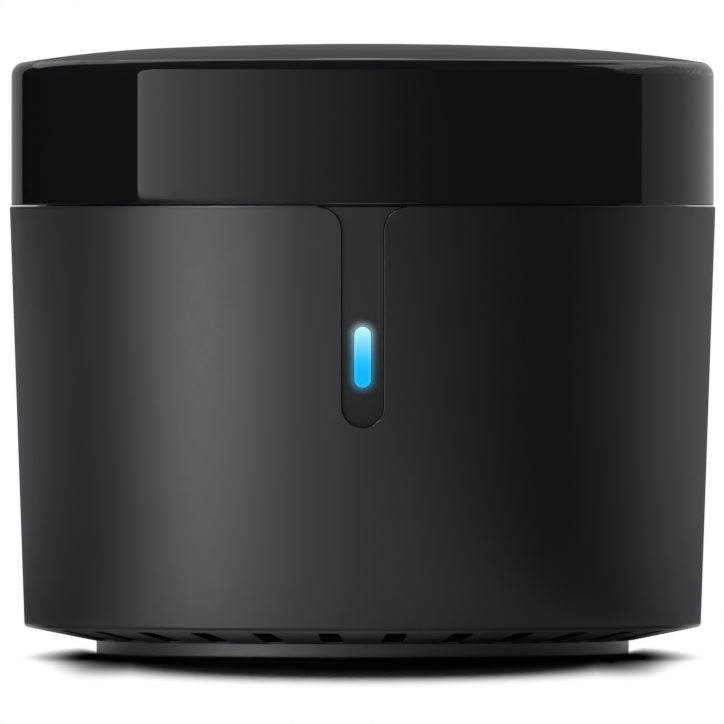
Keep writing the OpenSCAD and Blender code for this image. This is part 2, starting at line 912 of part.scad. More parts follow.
module led_holder() {
    ring_top_z = ir_top_z + cradle_ring_h;
    cradle_top_z = led_z - bite;
    color("#19191b")
    difference() {
        union() {
            translate([0, 0, ir_top_z])
                cylinder(r = cradle_ring_out_r, h = cradle_ring_h);
            for (i = [1 : led_n])
                rotate([0, 0, led_first_az + (i - 1) * 360 / led_n])
                    translate([cradle_back_r, -cradle_w / 2, ir_top_z])
                        cube([cradle_l, cradle_w, cradle_top_z - ir_top_z]);
        }
        translate([0, 0, ir_top_z - cut])
            cylinder(r = cradle_ring_in_r, h = cradle_ring_h + 2 * cut);
        for (i = [1 : led_n])
            radial_rod(led_first_az + (i - 1) * 360 / led_n, led_z, cradle_back_r - cut,
                cradle_back_r + cradle_l + cut, led_r + led_fit);
        at_azs(boss_azs)
            translate([boss_ring_r, 0, ir_top_z - cut])
                cylinder(r = small_head_d / 2 + head_fit, h = cradle_ring_h + 2 * cut);
    }
}

module ir_receiver() {
    back_r = spigot_in_r - receiver_gap - receiver_size.x;
    lens_z = ir_top_z + receiver_rise + receiver_size.z * receiver_lens_share;
    color("#1a1420")
    rotate([0, 0, front_az]) {
        translate([back_r, -receiver_size.y / 2, ir_top_z + receiver_rise])
            cube([receiver_size.x - receiver_lens_r / 2, receiver_size.y, receiver_size.z]);
        translate([back_r + receiver_size.x - receiver_lens_r, 0, lens_z])
            sphere(r = receiver_lens_r);
        for (i = [-1 : 1])
            translate([back_r, i * pin_pitch - lead_w / 2, ir_top_z])
                cube([lead_w, lead_w, receiver_rise + bite]);
    }
}

// A transistor with three feet
module driver() {
    foot = [lead_w, small_chip.y, chip_lead.y];
    translate([0, 0, chip_lead.y])
        block(driver_body - [0, 0, chip_lead.y]);
    for (side = [-1, 1])
        translate([side * (driver_body.x / 2 - foot.x), -driver_body.y / 2 - foot.y / 4, 0])
            block(foot + [0, 0, bite]);
    translate([0, driver_body.y / 2 + foot.y / 4, 0])
        block(foot + [0, 0, bite]);
}

module led_drivers() {
    color("#17171a")
    for (side = [-1, 1])
        translate([side * driver_place_share.x * ir_r, driver_place_share.y * ir_r, ir_top_z])
            driver();
}

module led_resistors() {
    color("#2d2c31")
    for (i = [1 : led_n])
        rotate([0, 0, led_first_az + (i - 1) * 360 / led_n])
            translate([resistor_r_share * ir_r, 0, ir_top_z])
                block([small_chip.y, small_chip.x, small_chip.z]);
}

module status_led() {
    color("#dff6ff")
    rotate([0, 0, front_az])
        translate([(pipe_in_r + pipe_out_r) / 2, 0, main_top_z])
            block([pipe_t, status_w, status_h]);
}

// Outline of the pocket for the plug's grip; grow widens it evenly
module pocket_outline(grow) {
    round_rect(pocket_w + 2 * grow, pocket_h + 2 * grow, pocket_r + grow);
}

// Outline of the socket's shell, seen into its mouth, wide side up; grow widens it evenly
module usb_outline(grow) {
    half = usb_w / 2 + grow;
    low_half = usb_w / 2 * usb_low_share + grow;
    top = usb_h / 2 + grow;
    polygon(rounded(
        [[-half, top], [-half, 0], [-low_half, -top], [low_half, -top], [half, 0], [half, top]],
        [for (i = [0 : 5]) usb_corner_r]
    ));
}

module micro_usb_socket() {
    lip_l = usb_sheet;
    color("#c4c7ca")
    translate([0, pocket_floor_y, port_z]) {
        rotate([90, 0, 0])
            difference() {
                union() {
                    linear_extrude(height = usb_l)
                        usb_outline(0);
                    linear_extrude(height = lip_l)
                        usb_outline(usb_flare);
                }
                translate([0, 0, -cut])
                    linear_extrude(height = usb_l + 2 * cut)
                        usb_outline(-usb_sheet);
            }
        for (side = [-1, 1])
            translate([side * (usb_w / 2 + tab_t / 2 - pin_fit), -usb_l + tab_l, -usb_h / 2])
                block([tab_t, tab_l, tab_h]);
    }
}

module usb_tongue() {
    color("#111113")
    translate([0, pocket_floor_y - usb_l, port_z])
        rotate([-90, 180, 0]) {
            linear_extrude(height = tongue_block_l)
                usb_outline(-usb_sheet - pin_fit);
            translate([0, tongue_t / 2, 0])
                linear_extrude(height = tongue_l + tongue_block_l)
                    translate([-tongue_w / 2, -tongue_t / 2])
                        square([tongue_w, tongue_t]);
        }
}

module reset_button() {
    color("#2a2a2d")
    rotate([0, 0, reset_az])
        translate([0, 0, reset_z])
            rotate([0, 90, 0])
                rotate_extrude()
                    polygon(rounded(
                        [
                            [0, stem_tip_r],
                            [stem_d / 2, stem_tip_r],
                            [stem_d / 2, flange_in_r],
                            [button_flange_d / 2, flange_in_r],
                            [button_flange_d / 2, flange_out_r],
                            [button_r, flange_out_r],
                            [button_r, button_face_r],
                            [0, button_face_r]
                        ],
                        [0, 0, 0, 0, 0, 0, button_edge_r, 0]
                    ));
}

module switch_plunger() {
    color("#e8e4da")
    radial_rod(reset_az, reset_z, switch_face_r - plunger_in, plunger_tip_r, plunger_d / 2);
}

module reset_switch() {
    bore_low_r = switch_face_r - plunger_in - button_travel - press_gap;
    color("#1d1d20")
    difference() {
        rotate([0, 0, reset_az])
            translate([switch_face_r - switch_l, -switch_w / 2, main_top_z])
                cube([switch_l, switch_w, switch_h]);
        radial_rod(reset_az, reset_z, bore_low_r, switch_face_r + cut, plunger_d / 2 + button_fit);
    }
}

// Children at a place given as shares of the main board's radius, on its top
module on_main_board(share) {
    translate([share.x * main_r, share.y * main_r, main_top_z])
        children();
}

module wifi_board() {
    color("#143f6b")
    on_main_board(wifi_place_share)
        block(wifi_size);
}

module wifi_shield() {
    color("#b9bcc0")
    on_main_board(wifi_place_share)
        translate([shield_shift, 0, wifi_size.z])
            linear_extrude(height = shield_size.z)
                round_rect(shield_size.x, shield_size.y, shield_edge_r);
}

module bulk_capacitor() {
    can_h = capacitor_h - capacitor_foot.z;
    ring_z = can_h * capacitor_groove_share;
    color("#a9adb2")
    on_main_board(capacitor_place_share) {
        block(capacitor_foot);
        translate([0, 0, capacitor_foot.z])
            rotate_extrude()
                polygon(rounded(
                    [
                        [0, 0],
                        [capacitor_d / 2, 0],
                        [capacitor_d / 2, ring_z],
                        [capacitor_d / 2 - capacitor_groove, ring_z + capacitor_groove],
                        [capacitor_d / 2, ring_z + 2 * capacitor_groove],
                        [capacitor_d / 2, can_h],
                        [0, can_h]
                    ],
                    [0, 0, 0, 0, 0, capacitor_groove, 0]
                ));
    }
}

module power_inductor() {
    color("#3a3a3d")
    on_main_board(inductor_place_share)
        linear_extrude(height = inductor_size.z)
            round_rect(inductor_size.x, inductor_size.y, inductor_corner_r);
}

module regulator() {
    foot = [regulator_tab.x, pin_w, regulator_tab.z];
    color("#161619")
    on_main_board(regulator_place_share) {
        translate([0, 0, regulator_tab.z / 2])
            block(regulator_body - [0, 0, regulator_tab.z / 2]);
        translate([regulator_body.x / 2, 0, 0])
            block(regulator_tab);
        for (i = [-1 : 1])
            translate([-regulator_body.x / 2, i * regulator_pitch, 0])
                block(foot);
    }
}

module flash_chip() {
    color("#19191c")
    on_main_board(flash_place_share) {
        translate([0, 0, chip_lead.y / 2])
            block(flash_body);
        for (side = [-1, 1], i = [-1.5 : 1.5])
            translate([side * (flash_body.x / 2 + chip_lead.x / 2), i * pin_pitch / 2, 0])
                block([flash_body.x / 4, chip_lead.x, chip_lead.y]);
    }
}

module crystal() {
    color("#cfd1d4")
    on_main_board(crystal_place_share)
        linear_extrude(height = crystal_size.z)
            round_rect(crystal_size.x, crystal_size.y, usb_corner_r);
}

module chip_capacitors() {
    color("#8a6b4a")
    for (share = chip_place_shares)
        on_main_board(share)
            block(small_chip);
}

ir_cap();
housing();
front_strip();
light_guide();
base_cover();
foot_pad();
case_screws();
main_board();
ir_board();
board_screws();
header_strip();
header_socket();
header_pins();
led_holder();
ring_led(1);  // ir_led_1
ring_led(2);  // ir_led_2
ring_led(3);  // ir_led_3
ring_led(4);  // ir_led_4
ring_led(5);  // ir_led_5
ring_led(6);  // ir_led_6
top_led();  // ir_led_7
ir_receiver();
led_drivers();
led_resistors();
status_led();
micro_usb_socket();
usb_tongue();
reset_button();
switch_plunger();
reset_switch();
wifi_board();
wifi_shield();
bulk_capacitor();
power_inductor();
regulator();
flash_chip();
crystal();
chip_capacitors();
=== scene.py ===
import math

import bpy
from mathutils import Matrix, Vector

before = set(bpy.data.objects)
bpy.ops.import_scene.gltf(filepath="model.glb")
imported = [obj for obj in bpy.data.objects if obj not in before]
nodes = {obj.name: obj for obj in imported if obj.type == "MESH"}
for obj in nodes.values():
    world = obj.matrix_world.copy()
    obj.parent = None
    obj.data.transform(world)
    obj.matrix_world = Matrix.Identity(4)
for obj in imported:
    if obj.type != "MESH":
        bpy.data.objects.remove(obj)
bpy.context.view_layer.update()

scene = bpy.context.scene
MM = 0.001

# Places on the object that its materials follow
SEAM_Z = 29.05 * MM
PILL_Z, PILL_R, PILL_HALF = 19.55 * MM, 0.54 * MM, 1.96 * MM
PILL_REACH = 0.62 * MM
STRIP_FRONT_Y = -20.9 * MM
GUIDE_TIP_Y, GUIDE_ROOT_Y = -21.4 * MM, -20.6 * MM
FOOT_R, FOOT_H = 17.35 * MM, 1.0 * MM
CONE_W, CONE_H = 4.695 * MM, 0.95 * MM


# Node helpers

class Graph:
    """The node tree of a material or a world, with short ways to add and join nodes."""

    def __init__(self, owner, out):
        self.owner = owner
        owner.use_nodes = True
        self.tree = owner.node_tree
        self.tree.nodes.clear()
        self.out = self.add(out)

    def add(self, kind, **values):
        node = self.tree.nodes.new(kind)
        for key, value in values.items():
            if hasattr(node, key):
                setattr(node, key, value)
            else:
                node.inputs[key.replace("_", " ")].default_value = value
        return node

    def link(self, a, b):
        self.tree.links.new(a, b)

    def feed(self, value, socket):
        """Join a socket, or write a plain value."""
        if isinstance(value, (int, float, tuple)):
            socket.default_value = value
        else:
            self.link(value, socket)

    def coords(self):
        return self.add("ShaderNodeTexCoord").outputs["Object"]

    def xyz(self, vector):
        split = self.add("ShaderNodeSeparateXYZ")
        self.link(vector, split.inputs[0])
        return split.outputs

    def noise(self, vector, scale, detail=3.0, rough=0.5, stretch=None):
        if stretch is not None:
            m = self.add("ShaderNodeMapping", Scale=stretch)
            self.link(vector, m.inputs["Vector"])
            vector = m.outputs["Vector"]
        n = self.add("ShaderNodeTexNoise", Scale=scale, Detail=detail, Roughness=rough)
        self.link(vector, n.inputs["Vector"])
        return n.outputs["Fac"]

    def remap(self, value, low, high, from_low=0.3, from_high=0.7, curve="LINEAR"):
        n = self.add("ShaderNodeMapRange", interpolation_type=curve,
                     From_Min=from_low, From_Max=from_high, To_Min=low, To_Max=high)
        self.link(value, n.inputs["Value"])
        return n.outputs["Result"]

    def ramp(self, value, stops):
        n = self.add("ShaderNodeValToRGB")
        els = n.color_ramp.elements
        while len(els) < len(stops):
            els.new(0.5)
        for el, (pos, col) in zip(els, stops):
            el.position = pos
            el.color = (*col, 1.0)
        self.link(value, n.inputs["Fac"])
        return n.outputs["Color"]

    def math(self, op, a, b=None, clamp=False):
        n = self.add("ShaderNodeMath", operation=op, use_clamp=clamp)
        self.feed(a, n.inputs[0])
        if b is not None:
            self.feed(b, n.inputs[1])
        return n.outputs[0]

    def hypot(self, a, b):
        return self.math("SQRT", self.math("ADD", self.math("MULTIPLY", a, a), self.math("MULTIPLY", b, b)))

    def mix(self, factor, a, b, kind="RGBA"):
        n = self.add("ShaderNodeMix", data_type=kind)
        self.link(factor, n.inputs["Factor"])
        self.feed(a, n.inputs["A"])
        self.feed(b, n.inputs["B"])
        return n.outputs["Result"]

    def bump(self, height, distance, strength, under=None):
        n = self.add("ShaderNodeBump", Strength=strength, Distance=distance)
        self.link(height, n.inputs["Height"])
        if under is not None:
            self.link(under, n.inputs["Normal"])
        return n.outputs["Normal"]

    def seen(self):
        """1 for what the camera sees, for what is mirrored and for what is looked at through glass."""
        path = self.add("ShaderNodeLightPath")
        both = self.math("ADD", path.outputs["Is Camera Ray"], path.outputs["Is Glossy Ray"])
        return self.math("ADD", both, path.outputs["Is Transmission Ray"], clamp=True)

    def either(self, factor, first, second):
        """The surface is the first shader, or the second one where the factor is 1."""
        n = self.add("ShaderNodeMixShader")
        self.link(factor, n.inputs["Fac"])
        self.link(first.outputs[0], n.inputs[1])
        self.link(second.outputs[0], n.inputs[2])
        self.link(n.outputs[0], self.out.inputs["Surface"])


def material(name):
    return Graph(bpy.data.materials.new(name), "ShaderNodeOutputMaterial")


def principled(g, rough=0.5, metallic=0.0, spec=0.5, coat=0.0, coat_rough=0.05):
    b = g.add("ShaderNodeBsdfPrincipled", Roughness=rough, Metallic=metallic, IOR=1.5)
    b.inputs["Specular IOR Level"].default_value = spec
    b.inputs["Coat Weight"].default_value = coat
    b.inputs["Coat Roughness"].default_value = coat_rough
    g.link(b.outputs["BSDF"], g.out.inputs["Surface"])
    return b


def grey(value):
    return (value, value, value)


def toned(g, at, scale, detail, dark, light):
    """A colour that drifts between two tones."""
    return g.ramp(g.noise(at, scale, detail), [(0.3, dark), (0.7, light)])


def vary(g, b, at, tone=None, gloss=None, relief=None, under=None):
    """Tone, gloss and relief that vary over the surface, each by a noise of its own."""
    if tone:
        g.link(toned(g, at, *tone), b.inputs["Base Color"])
    if gloss:
        scale, detail, low, high = gloss
        g.link(g.remap(g.noise(at, scale, detail), low, high), b.inputs["Roughness"])
    if relief:
        scale, detail, rough, depth, strength = relief
        g.link(g.bump(g.noise(at, scale, detail, rough), depth, strength, under), b.inputs["Normal"])


# Materials

def moulded(name, dark, light, rough, grain, depth, spec=0.5, tone_scale=90.0, spread=0.04, soft_edge=0.0):
    """Moulded plastic: a fine eroded grain, and tone and gloss that drift a little over the surface."""
    g = material(name)
    b = principled(g, rough=rough, spec=spec)
    at = g.coords()
    under = None
    if soft_edge:
        # the edges look rounded at the seam, and everywhere in the half with x above zero
        bevel = g.add("ShaderNodeBevel", samples=6, Radius=soft_edge)
        plain = g.add("ShaderNodeNewGeometry").outputs["Normal"]
        x, _, z = g.xyz(at)
        use = g.math("MAXIMUM", g.math("GREATER_THAN", x, 0.0), g.math("GREATER_THAN", z, SEAM_Z))
        under = g.mix(use, plain, bevel.outputs["Normal"], "VECTOR")
    vary(g, b, at, (tone_scale, 2.0, dark, light), (grain * 0.12, 3.0, rough - spread, rough + spread),
         (grain, 4.0, 0.6, depth, 0.5), under)
    return g.owner


def metal(name, dark, light, rough, stretch):
    """Sheet or turned metal with a drawn grain."""
    g = material(name)
    b = principled(g, rough=rough, metallic=1.0)
    at = g.coords()
    vary(g, b, at, (260.0, 3.0, dark, light))
    lines = g.noise(at, 2600.0, 3.0, 0.6, stretch)
    g.link(g.remap(lines, rough - 0.08, rough + 0.08), b.inputs["Roughness"])
    g.link(g.bump(lines, 2e-6, 0.6), b.inputs["Normal"])
    return g.owner


def cap_gloss():
    """Polished infrared-pass plastic: nearly black, a clear sharp gloss and a trace of moulding flow."""
    g = material("cap_gloss")
    b = principled(g, rough=0.03)
    vary(g, b, g.coords(), (60.0, 2.0, (0.0060, 0.0056, 0.0074), (0.0074, 0.0069, 0.0090)),
         (900.0, 3.0, 0.012, 0.03), (45.0, 1.0, 0.5, 2e-6, 0.25))
    return g.owner


def past_pill(g, x, z):
    """Distance from the middle line of the pill."""
    along = g.math("ABSOLUTE", g.math("SUBTRACT", z, PILL_Z))
    return g.hypot(x, g.math("MAXIMUM", g.math("SUBTRACT", along, PILL_HALF - PILL_R), 0.0))


def up_pill(g, z, stops):
    """A colour that changes from the pill's lower end to its upper end."""
    return g.ramp(g.remap(z, 0.0, 1.0, PILL_Z - PILL_HALF, PILL_Z + PILL_HALF), stops)


def strip_satin():
    """The strip's plastic, with the light that spills from the pill in a narrow halo."""
    g = material("strip_satin")
    b = principled(g, rough=0.42, spec=0.35)
    at = g.coords()
    x, y, z = g.xyz(at)
    vary(g, b, at, (120.0, 2.0, grey(0.015), grey(0.019)), (2000.0, 3.0, 0.38, 0.47),
         (15000.0, 3.0, 0.6, 3e-6, 0.5))
    # painted shade: the strip reflects less towards its lower end, so it looks darker towards the bottom
    g.link(g.remap(z, 0.12, 0.37, 15.0 * MM, 21.5 * MM), b.inputs["Specular IOR Level"])
    away = g.math("SUBTRACT", past_pill(g, x, z), PILL_R)
    near = g.math("MAXIMUM", g.math("SUBTRACT", 1.0, g.math("DIVIDE", away, PILL_REACH)), 0.0)
    fall = g.math("MULTIPLY", g.math("POWER", near, 2.4), g.math("LESS_THAN", y, STRIP_FRONT_Y))
    g.link(up_pill(g, z, [(0.0, (0.0, 0.26, 0.50)), (0.5, (0.03, 0.34, 0.55)), (1.0, (0.42, 0.60, 0.64))]),
           b.inputs["Emission Color"])
    g.link(g.math("MULTIPLY", fall, 0.6), b.inputs["Emission Strength"])
    return g.owner


def light_clear():
    """The light guide's end: near-white cyan at the top, deep azure below, with a lighter rim."""
    g = material("light_clear")
    b = principled(g, rough=0.25, spec=0.12)
    b.inputs["Base Color"].default_value = (0.0, 0.02, 0.04, 1.0)
    at = g.coords()
    x, y, z = g.xyz(at)
    core = up_pill(g, z, [
        (0.0, (0.0, 0.45, 0.90)), (0.30, (0.0, 0.47, 1.0)), (0.48, (0.025, 0.54, 1.0)),
        (0.65, (0.14, 0.64, 1.0)), (0.82, (0.32, 0.76, 1.0)), (1.0, (0.58, 0.92, 0.97))])
    rim = up_pill(g, z, [
        (0.0, (0.03, 0.46, 0.76)), (0.4, (0.04, 0.58, 0.92)), (0.8, (0.34, 0.82, 1.0)),
        (1.0, (0.56, 0.88, 0.94))])
    edge = g.remap(past_pill(g, x, z), 0.0, 1.0, PILL_R - 0.20 * MM, PILL_R - 0.02 * MM)
    g.link(g.mix(edge, core, rim), b.inputs["Emission Color"])
    g.link(g.remap(y, 1.0, 0.12, GUIDE_TIP_Y, GUIDE_ROOT_Y), b.inputs["Emission Strength"])
    vary(g, b, at, None, (1500.0, 2.0, 0.2, 0.3), (2500.0, 2.0, 0.5, 2e-6, 0.3))
    return g.owner


def base_matte():
    """The base's plastic: painted sheen on the foot, and painted shade in the vent slots above the cone's own
    face.
    """
    g = material("base_matte")
    b = principled(g, rough=0.42, spec=0.4)
    at = g.coords()
    x, y, z = g.xyz(at)
    r = g.hypot(x, y)
    climb = g.math("MULTIPLY", g.math("SUBTRACT", r, FOOT_R), CONE_H / CONE_W)
    face = g.math("ADD", climb, FOOT_H + 0.07 * MM)
    beyond = g.math("GREATER_THAN", r, FOOT_R + 0.1 * MM)
    # painted shade: the vent slots' walls, above the cone's face, are coloured near black and barely reflect
    inside = g.math("MULTIPLY", g.math("GREATER_THAN", z, face), beyond)
    tone = toned(g, at, 90.0, 2.0, (0.022, 0.022, 0.023), (0.028, 0.028, 0.029))
    g.link(g.mix(inside, tone, (*grey(0.004), 1.0)), b.inputs["Base Color"])
    # painted sheen: the foot reflects about twice as strongly as the rest of the base
    gloss = g.remap(beyond, 0.85, 0.4, 0.0, 1.0)
    g.link(g.math("MULTIPLY", gloss, g.remap(inside, 1.0, 0.05, 0.0, 1.0)), b.inputs["Specular IOR Level"])
    vary(g, b, at, None, (1900.0, 3.0, 0.38, 0.46), (16000.0, 4.0, 0.6, 4e-6, 0.5))
    return g.owner


def laminate(name, dark, light):
    """Solder mask over copper: glossy, with the tracks under it showing as a faint relief."""
    g = material(name)
    b = principled(g, rough=0.3, coat=0.4, coat_rough=0.12)
    at = g.coords()
    tracks = g.add("ShaderNodeTexBrick", offset=0.37, squash=0.6, squash_frequency=3, Color1=(*dark, 1.0),
                   Color2=(*light, 1.0), Mortar=(*[min(1.0, c * 1.25) for c in light], 1.0), Scale=300.0,
                   Mortar_Size=0.06, Brick_Width=1.4, Row_Height=0.3)
    g.link(at, tracks.inputs["Vector"])
    g.link(tracks.outputs["Color"], b.inputs["Base Color"])
    vary(g, b, at, None, (800.0, 3.0, 0.24, 0.38))
    g.link(g.bump(tracks.outputs["Fac"], 2e-5, 0.4), b.inputs["Normal"])
    return g.owner


def epoxy(name, dark, light, rough=0.12):
    """Cast epoxy that looks nearly black, under a glossy skin."""
    g = material(name)
    b = principled(g, rough=rough, spec=0.55, coat=0.6, coat_rough=0.04)
    vary(g, b, g.coords(), (220.0, 2.0, dark, light), (1100.0, 3.0, rough - 0.04, rough + 0.05),
         (400.0, 2.0, 0.5, 4e-6, 0.3))
    return g.owner


MADE = [
    cap_gloss(),
    moulded("housing_matte", (0.0052, 0.0052, 0.0060), (0.0060, 0.0060, 0.0069), 0.36, 16000.0, 4e-6,
            tone_scale=400.0, spread=0.012, soft_edge=0.12 * MM),
    strip_satin(),
    light_clear(),
    base_matte(),
    moulded("pad_rubber", grey(0.014), grey(0.02), 0.85, 9000.0, 1.2e-5, 0.3),
    metal("screw_steel", (0.40, 0.40, 0.41), (0.50, 0.50, 0.50), 0.32, (1.0, 1.0, 0.15)),
    laminate("board_laminate", (0.010, 0.085, 0.034), (0.016, 0.115, 0.048)),
    moulded("connector_plastic", (0.012, 0.012, 0.013), (0.018, 0.018, 0.019), 0.5, 12000.0, 4e-6),
    metal("pin_brass", (0.66, 0.48, 0.18), (0.78, 0.60, 0.26), 0.25, (1.0, 1.0, 0.1)),
    epoxy("led_epoxy", (0.022, 0.009, 0.030), (0.036, 0.015, 0.048)),
    epoxy("receiver_epoxy", (0.016, 0.010, 0.024), (0.024, 0.014, 0.034), 0.2),
    moulded("chip_epoxy", (0.014, 0.014, 0.016), (0.022, 0.022, 0.024), 0.58, 9000.0, 6e-6, 0.4),
    metal("socket_steel", (0.56, 0.57, 0.58), (0.68, 0.69, 0.70), 0.28, (0.2, 1.0, 1.0)),
    moulded("button_matte", (0.0095, 0.0095, 0.0108), (0.0115, 0.0115, 0.0130), 0.38, 16000.0, 4e-6),
    moulded("plunger_plastic", (0.54, 0.51, 0.44), (0.64, 0.61, 0.54), 0.4, 9000.0, 4e-6),
    laminate("module_laminate", (0.008, 0.032, 0.115), (0.013, 0.05, 0.165)),
    metal("shield_steel", (0.48, 0.49, 0.50), (0.60, 0.61, 0.62), 0.34, (1.0, 0.2, 1.0)),
    metal("capacitor_can", (0.54, 0.55, 0.56), (0.66, 0.67, 0.68), 0.3, (1.0, 1.0, 0.08)),
    moulded("chip_ceramic", (0.24, 0.14, 0.07), (0.34, 0.21, 0.11), 0.55, 7000.0, 8e-6),
]
by_slot = {mat.name.split(".")[0]: mat for mat in MADE}
for obj in nodes.values():
    for slot in obj.material_slots:
        slot.material = by_slot[slot.name.split(".")[0]]


# Camera, at the photo's viewing angle

REACH = 1.5
VIEW_W = 47.2 * MM
SENSOR = 36.0
LOOK = Vector((-0.04 * MM, 0.0, 19.17 * MM))
TILT = math.radians(0.2)

cam_data = bpy.data.cameras.new("camera")
cam = bpy.data.objects.new("camera", cam_data)
scene.collection.objects.link(cam)
cam_data.sensor_width = SENSOR
cam_data.lens = SENSOR * REACH / VIEW_W
cam_data.clip_start = 0.01
cam_data.clip_end = 20.0
cam.location = LOOK + Vector((0.0, -math.cos(TILT), math.sin(TILT))) * REACH
cam.rotation_euler = (math.radians(90.0) - TILT, 0.0, 0.0)
scene.camera = cam
scene.view_settings.view_transform = "Standard"


# Studio. Sizes are in mm. Azimuths are in degrees round the axis: 0 is the front, and left is positive.

def direction(az, el=0.0):
    a, e = math.radians(az), math.radians(el)
    return Vector((-math.sin(a) * math.cos(e), -math.cos(a) * math.cos(e), math.sin(e)))


def stage_mesh(name, points, faces, mat):
    me = bpy.data.meshes.new(name)
    me.from_pydata([tuple(c * MM for c in p) for p in points], [], faces)
    me.update()
    me.materials.append(mat)
    o = bpy.data.objects.new(name, me)
    scene.collection.objects.link(o)
    return o


def card(name, points, faces, mat):
    """A card that glossy surfaces mirror, and that neither lights the object nor shades it."""
    o = stage_mesh(name, points, faces, mat)
    o.visible_camera = False
    o.visible_diffuse = False
    o.visible_shadow = False


def flat(name, x_low, x_high, y_low, y_high, z, mat):
    corners = [(x_low, y_low, z), (x_high, y_low, z), (x_high, y_high, z), (x_low, y_high, z)]
    card(name, corners, [(0, 1, 2, 3)], mat)


def band(name, az_low, az_high, low, high, mat, steps=48):
    """A card between two lines round the axis, each a radius and height, or a function of the azimuth."""
    points, faces = [], []
    for i in range(steps + 1):
        az = az_low + (az_high - az_low) * i / steps
        way = direction(az)
        for line in (low, high):
            r, z = line(az) if callable(line) else line
            points.append((way.x * r, way.y * r, z))
        if i:
            faces.append((2 * i - 2, 2 * i, 2 * i + 1, 2 * i - 1))
    card(name, points, faces, mat)


def plain_glow(name, strength):
    g = material(name)
    g.link(g.add("ShaderNodeEmission", Strength=strength).outputs[0], g.out.inputs["Surface"])
    return g.owner


def glow(name, stops, tint=(1.0, 1.0, 1.0), share=lambda az: 1.0):
    """Emission whose strength follows the azimuth, between listed stops."""
    stops = [(az, v * share(az)) for az, v in stops]
    low, high = stops[0][0], stops[-1][0]
    top = max(v for _, v in stops)
    g = material(name)
    x, y, _ = g.xyz(g.coords())
    az = g.math("ARCTAN2", g.math("MULTIPLY", x, -1.0), g.math("MULTIPLY", y, -1.0))
    along = g.remap(az, 0.0, 1.0, math.radians(low), math.radians(high))
    em = g.add("ShaderNodeEmission", Strength=top)
    g.link(g.ramp(along, [((a - low) / (high - low), tuple(v / top * c for c in tint)) for a, v in stops]),
           em.inputs["Color"])
    g.link(em.outputs[0], g.out.inputs["Surface"])
    return g.owner


WALL_R = 300.0
REAR_R = WALL_R - 5.0
WALL_TOP = 400.0
COOL = (0.99, 0.965, 1.08)

# the softbox that the cap mirrors, brightest at its left end, and the thin bright line along its lower edge
SOFT_LOW, SOFT_HIGH = -24.0, 76.3
SOFT_TOP, SOFT_EDGE, SOFT_LIFT = 190.0, 30.15, 0.75
SOFT_CORNER_AZ, SOFT_CORNER_Z = 2.6, 0.5
SOFT_LINE = 0.13
SOFT_STOPS = [
    (SOFT_LOW, 0.05), (-14.0, 0.09), (0.0, 0.19), (19.0, 0.34), (33.0, 0.56), (46.0, 0.86), (60.0, 1.09),
    (73.6, 1.50), (74.4, 1.54), (75.2, 1.85), (SOFT_HIGH, 1.85)]


def soft_bottom(az):
    """Height of the softbox's lower edge: a little higher to the left, with a rounded corner at its end."""
    corner = min(1.0, max(0.0, az - SOFT_HIGH + SOFT_CORNER_AZ) / SOFT_CORNER_AZ)
    lift = SOFT_LIFT * max(0.0, (az - 20.0) / 57.0)
    return SOFT_EDGE + lift + SOFT_CORNER_Z * (1.0 - math.sqrt(1.0 - corner ** 2))


band("softbox", SOFT_LOW, SOFT_HIGH, lambda az: (WALL_R, soft_bottom(az)), (WALL_R, SOFT_TOP),
     glow("softbox", SOFT_STOPS, COOL), 200)
band("softbox_frame", SOFT_LOW, SOFT_HIGH, lambda az: (WALL_R - 1.0, soft_bottom(az)),
     lambda az: (WALL_R - 1.0, soft_bottom(az) + SOFT_LINE),
     glow("softbox_frame", SOFT_STOPS, COOL, lambda az: 1.45), 200)

# dark cards on both sides of the softbox, above it and below it
DARK_LEFT_END, DIM_RIGHT_END = 146.5, -101.2
dark = plain_glow("dark_card", 0.0)
band("dim_right", DIM_RIGHT_END, SOFT_LOW, (WALL_R, 0.0), (WALL_R, WALL_TOP), plain_glow("dim_right", 0.05))
band("dark_left", SOFT_HIGH, DARK_LEFT_END, (WALL_R, 0.0), (WALL_R, WALL_TOP), dark)
band("dark_front", SOFT_LOW, SOFT_HIGH, (WALL_R, SOFT_TOP), (WALL_R, WALL_TOP), dark)
band("dark_low", SOFT_LOW, SOFT_HIGH, (WALL_R + 3.0, 0.0), (WALL_R + 3.0, 34.0), dark)

# grey surroundings behind
band("rear_right", -174.0, DIM_RIGHT_END, (WALL_R, 0.0), (WALL_R, 200.0),
     glow("rear_right", [(-178.0, 0.50), (-150.0, 0.45), (-125.0, 0.33), (DIM_RIGHT_END, 0.26)]))
band("rear_left", DARK_LEFT_END, 174.0, (WALL_R, 0.0), (WALL_R, 200.0),
     glow("rear_left", [(DARK_LEFT_END, 0.18), (151.0, 0.22), (158.0, 0.25), (167.0, 0.31), (178.0, 0.33)]))
band("rear_dim", 172.5, 187.5, (REAR_R, 20.0), (REAR_R, 134.0), plain_glow("rear_dim", 0.13))
band("rear_rim", 140.0, 220.0, (REAR_R, 134.0), (REAR_R, 390.0), plain_glow("rear_rim", 0.55))
band("dark_rear", 120.0, 240.0, (REAR_R, 390.0), (REAR_R, 500.0), dark)
flat("dark_ceiling", -320.0, 320.0, -320.0, 320.0, 420.0, dark)

# the strip light at table level, which the housing mirrors
LOW_STOPS = [
    (-180.0, 0.1), (-140.0, 0.34), (-110.0, 0.72), (-85.0, 0.30), (-60.0, 0.09), (-30.0, 0.29), (0.0, 0.52),
    (20.0, 1.35), (38.0, 4.6), (54.0, 6.3), (68.0, 2.0), (80.0, 0.66), (92.0, 0.18), (120.0, 0.36),
    (150.0, 0.26), (180.0, 0.1)]
band("low_strip", -176.0, 176.0, (130.0, 0.2), (130.0, 28.0), glow("low_strip", LOW_STOPS, COOL), 120)


def table_share(az):
    """The part of the strip light's strength that the cards on the table give."""
    if az < 10.0:
        return 0.28 if az <= -75.0 else 0.05
    return 0.2 if az < 75.0 else 0.03


